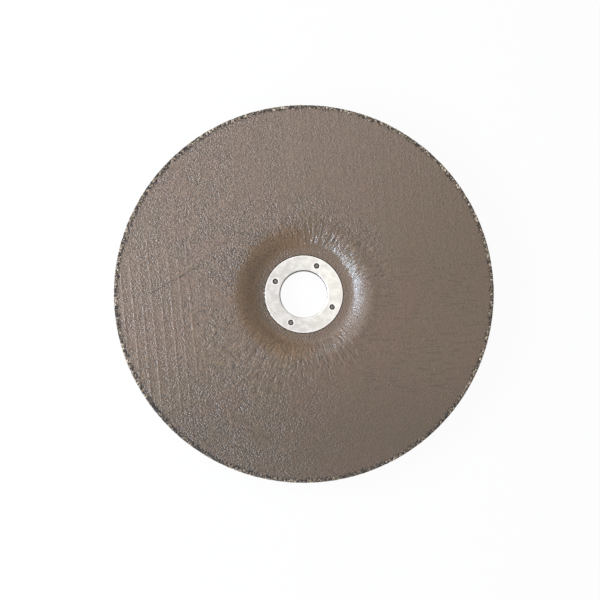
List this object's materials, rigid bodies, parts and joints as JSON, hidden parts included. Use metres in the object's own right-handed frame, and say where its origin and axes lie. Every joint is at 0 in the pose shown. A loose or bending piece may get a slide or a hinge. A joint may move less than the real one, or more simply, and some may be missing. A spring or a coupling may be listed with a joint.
{
  "type": "depressed-centre cut-off wheel",
  "caption": "Round abrasive wheel with a dished hub, faint mesh ridges on its face and a flanged steel ring lining the arbor bore.",
  "frame": {"origin": "on the wheel's axis, in the hub's back face, which is the face that the wheel rests on", "axes": "+Z along the wheel's axis, from the hub's back face towards the recessed side; +X and +Y in the plane of the disc, with the mesh ridges leaning 5.3 degrees from +Y towards -X"},
  "size_m": [0.18, 0.18, 0.0077],
  "materials": {
    "abrasive": "matte",
    "ring_steel": "satin"
  },
  "bodies": {
    "root": {"abrasive_disc": "abrasive", "arbor_ring": "ring_steel"}
  },
  "joints": []
}
